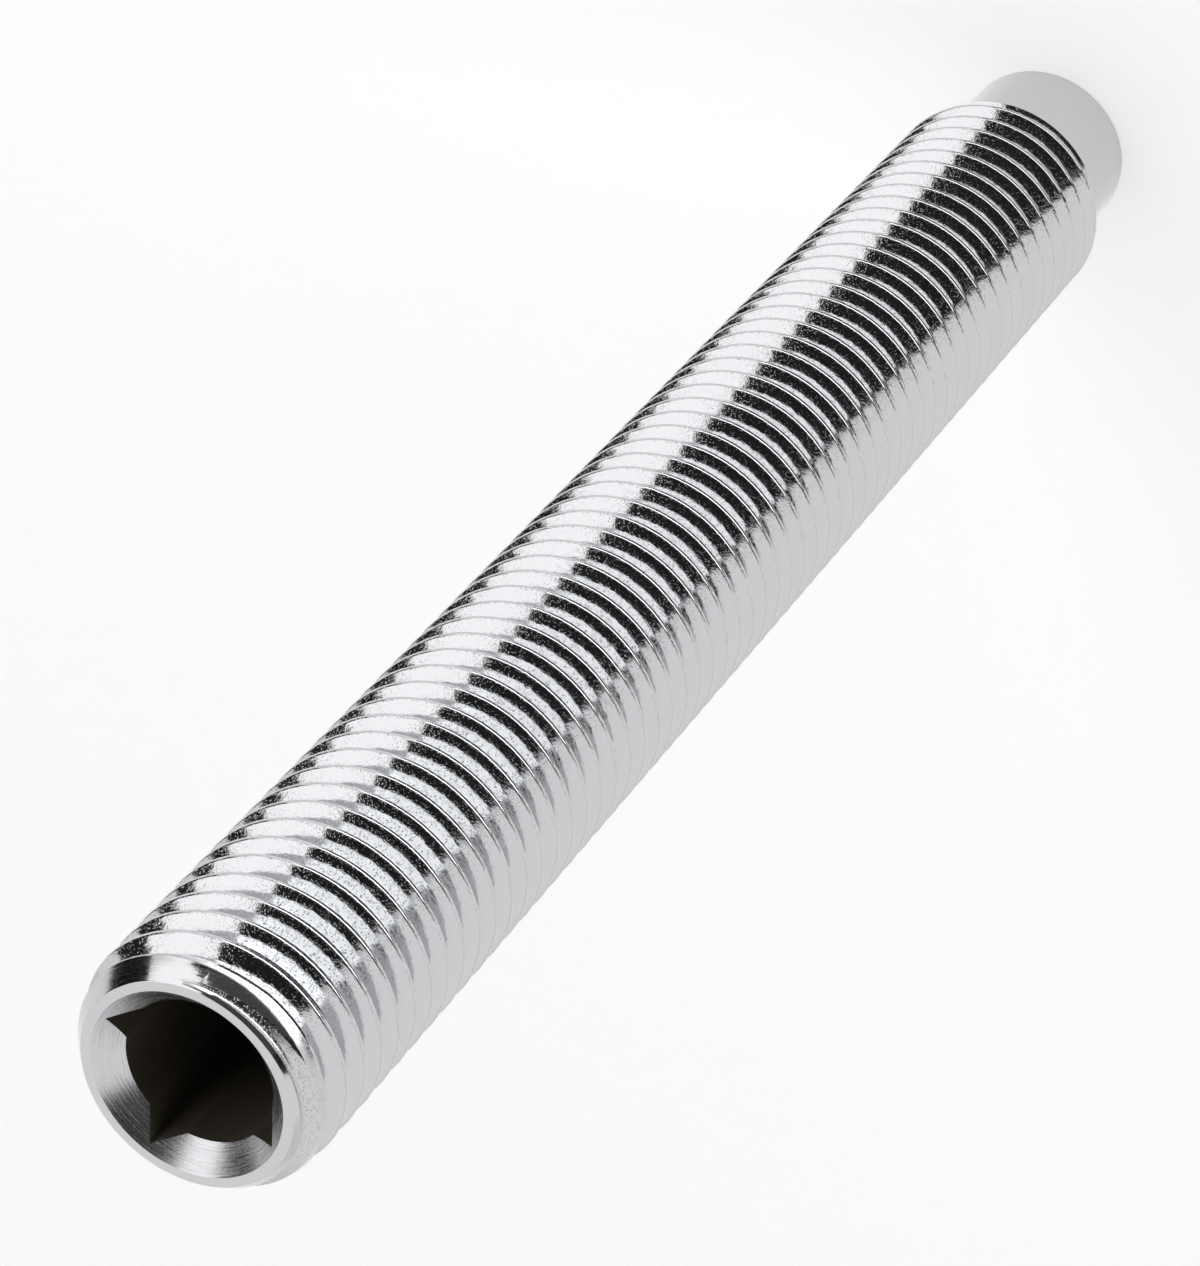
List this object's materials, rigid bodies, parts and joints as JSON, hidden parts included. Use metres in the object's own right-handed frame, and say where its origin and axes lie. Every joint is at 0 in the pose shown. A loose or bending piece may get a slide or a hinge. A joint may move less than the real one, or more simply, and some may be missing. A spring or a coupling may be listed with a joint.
{
  "type": "jack bolt",
  "caption": "Fully threaded steel bolt with no head, turned by a square drive socket in one end and pushing with a plain dog point at the other.",
  "frame": {"origin": "centre of the dog point's end face, which the bolt stands on", "axes": "+Z along the bolt's axis, from the dog point up to the drive face; the sides of the drive square lie along X and Y"},
  "size_m": [0.0253, 0.0254, 0.2032],
  "materials": {
    "plated_steel": "thin bright plating on a rolled thread and turned ends"
  },
  "bodies": {
    "root": {"jack_bolt": "plated_steel"}
  },
  "joints": []
}
